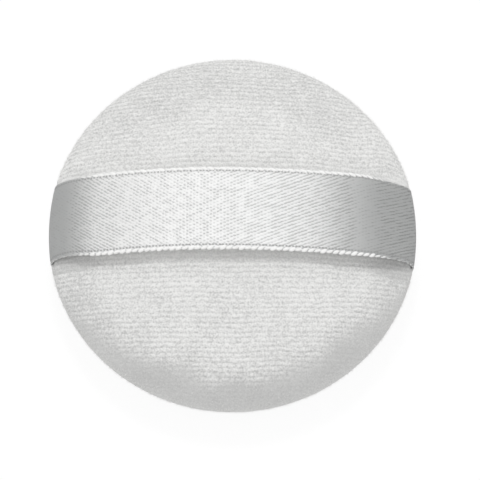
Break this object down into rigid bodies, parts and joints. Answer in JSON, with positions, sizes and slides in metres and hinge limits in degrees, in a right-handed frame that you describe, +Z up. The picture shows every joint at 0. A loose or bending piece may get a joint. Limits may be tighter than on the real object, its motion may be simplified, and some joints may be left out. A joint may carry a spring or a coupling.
{
  "type": "powder puff",
  "caption": "Round velour powder puff: two domed covers sewn round a sponge, with a satin ribbon across the back that slips over the fingers.",
  "frame": {"origin": "middle of the powder face, on the surface that the puff rests on", "axes": "+Z up out of the back, through the ribbon; +X along the ribbon; +Y across the ribbon, away from the picture's viewer"},
  "size_m": [0.0862, 0.084, 0.0244],
  "materials": {
    "velour": "soft looped pile, matte",
    "sponge": "open-celled foam, matte",
    "satin": "satin weave with corded edges, soft sheen",
    "thread": "spun thread, matte"
  },
  "bodies": {
    "pad": {"back_cover": "velour", "face_cover": "velour", "foam_core": "sponge", "needle_thread": "thread", "bobbin_thread": "thread", "closing_thread": "thread", "ribbon_tail_left": "satin", "ribbon_tail_right": "satin"},
    "strap": {"ribbon_strap": "satin"}
  },
  "joints": [
    {"name": "ribbon_lift", "type": "slide", "parent": "pad", "child": "strap", "axis": [0, 0, 1], "range_m": [0, 0.007], "stiffness_N_per_m": 8}
  ]
}
